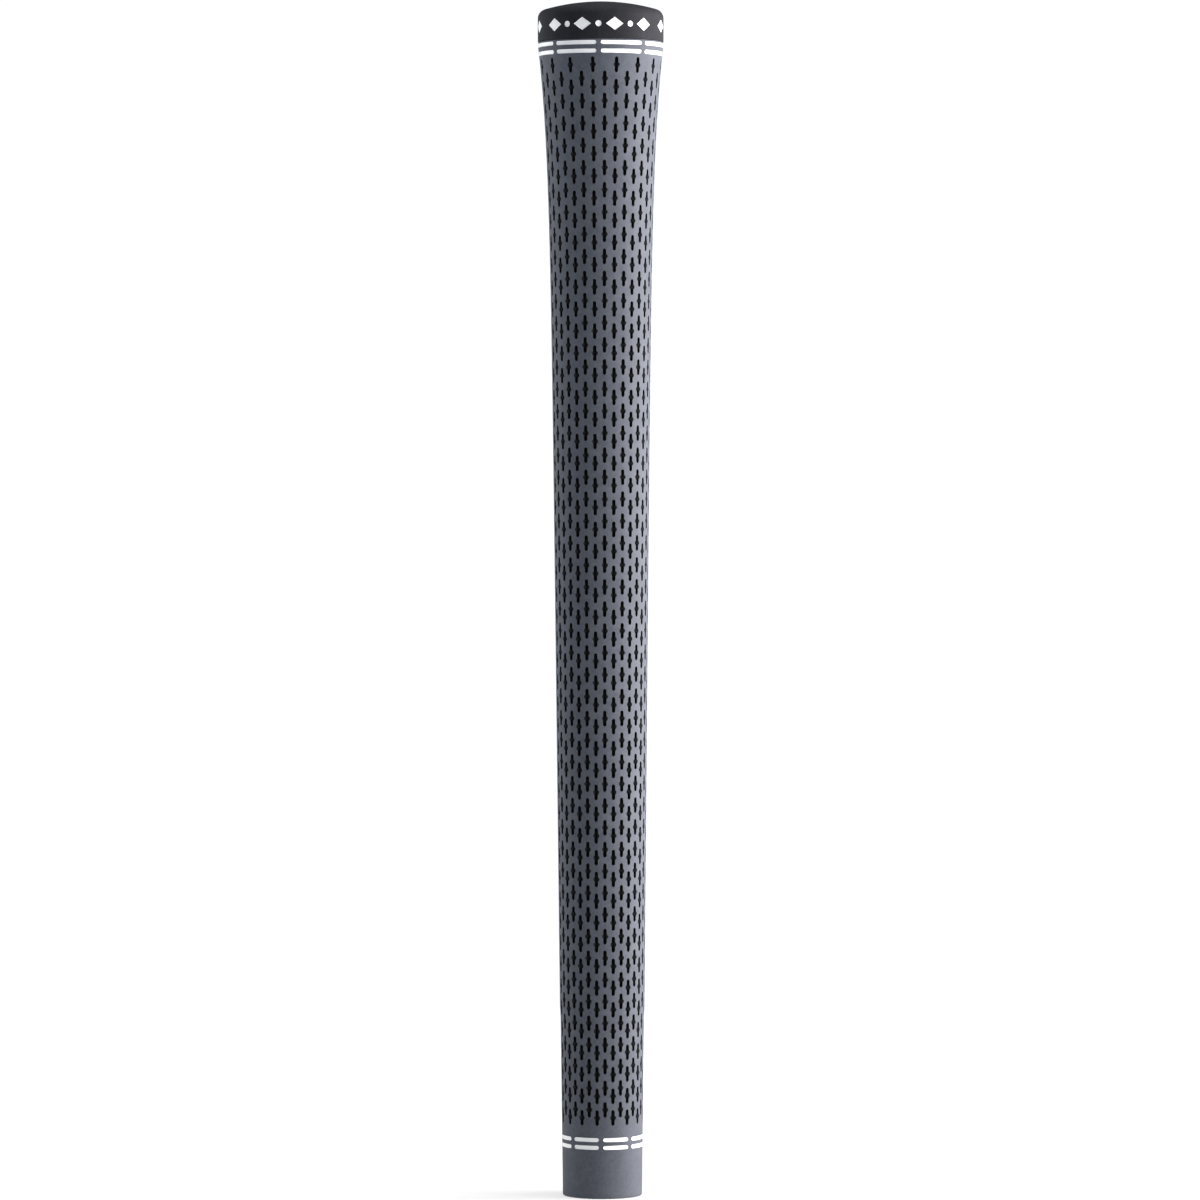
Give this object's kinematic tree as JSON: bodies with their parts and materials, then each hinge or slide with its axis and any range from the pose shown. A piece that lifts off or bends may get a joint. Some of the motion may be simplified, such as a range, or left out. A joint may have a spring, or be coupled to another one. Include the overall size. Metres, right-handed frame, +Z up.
{
  "type": "golf grip",
  "caption": "Slip-on golf club grip: tapered grey rubber sleeve with a flared butt, open shaft bore, black domed end cap and white dash rings.",
  "frame": {"origin": "centre of the mouth's flat end face, where the shaft leaves the bore", "axes": "+Z up the bore's axis, from the open mouth to the end cap; -Y is the front, where a gap between two dashes of each ring and the middle of a frieze repeat face"},
  "size_m": [0.0284, 0.0284, 0.27],
  "materials": {
    "grey_rubber": "matt moulded rubber with a fine grain",
    "black_rubber": "matt black moulded rubber",
    "white_paint": "white paint fill, satin"
  },
  "bodies": {
    "root": {"grip_body": "grey_rubber", "end_cap": "black_rubber", "upper_dash_a_1": "white_paint", "upper_dash_a_2": "white_paint", "upper_dash_a_3": "white_paint", "upper_dash_a_4": "white_paint", "upper_dash_a_5": "white_paint", "upper_dash_a_6": "white_paint", "upper_dash_a_7": "white_paint", "upper_dash_a_8": "white_paint", "upper_dash_b_1": "white_paint", "upper_dash_b_2": "white_paint", "upper_dash_b_3": "white_paint", "upper_dash_b_4": "white_paint", "upper_dash_b_5": "white_paint", "upper_dash_b_6": "white_paint", "upper_dash_b_7": "white_paint", "upper_dash_b_8": "white_paint", "lower_dash_a_1": "white_paint", "lower_dash_a_2": "white_paint", "lower_dash_a_3": "white_paint", "lower_dash_a_4": "white_paint", "lower_dash_a_5": "white_paint", "lower_dash_a_6": "white_paint", "lower_dash_a_7": "white_paint", "lower_dash_a_8": "white_paint", "lower_dash_b_1": "white_paint", "lower_dash_b_2": "white_paint", "lower_dash_b_3": "white_paint", "lower_dash_b_4": "white_paint", "lower_dash_b_5": "white_paint", "lower_dash_b_6": "white_paint", "lower_dash_b_7": "white_paint", "lower_dash_b_8": "white_paint", "cap_lozenge_1": "white_paint", "cap_lozenge_2": "white_paint", "cap_lozenge_3": "white_paint", "cap_lozenge_4": "white_paint", "cap_lozenge_5": "white_paint", "cap_lozenge_6": "white_paint", "cap_lozenge_7": "white_paint", "cap_lozenge_8": "white_paint", "cap_lozenge_9": "white_paint", "cap_lozenge_10": "white_paint", "cap_lozenge_11": "white_paint", "cap_lozenge_12": "white_paint", "cap_dot_1": "white_paint", "cap_dot_2": "white_paint", "cap_dot_3": "white_paint", "cap_dot_4": "white_paint", "cap_dot_5": "white_paint", "cap_dot_6": "white_paint", "cap_dot_7": "white_paint", "cap_dot_8": "white_paint", "cap_dot_9": "white_paint"}
  },
  "joints": []
}
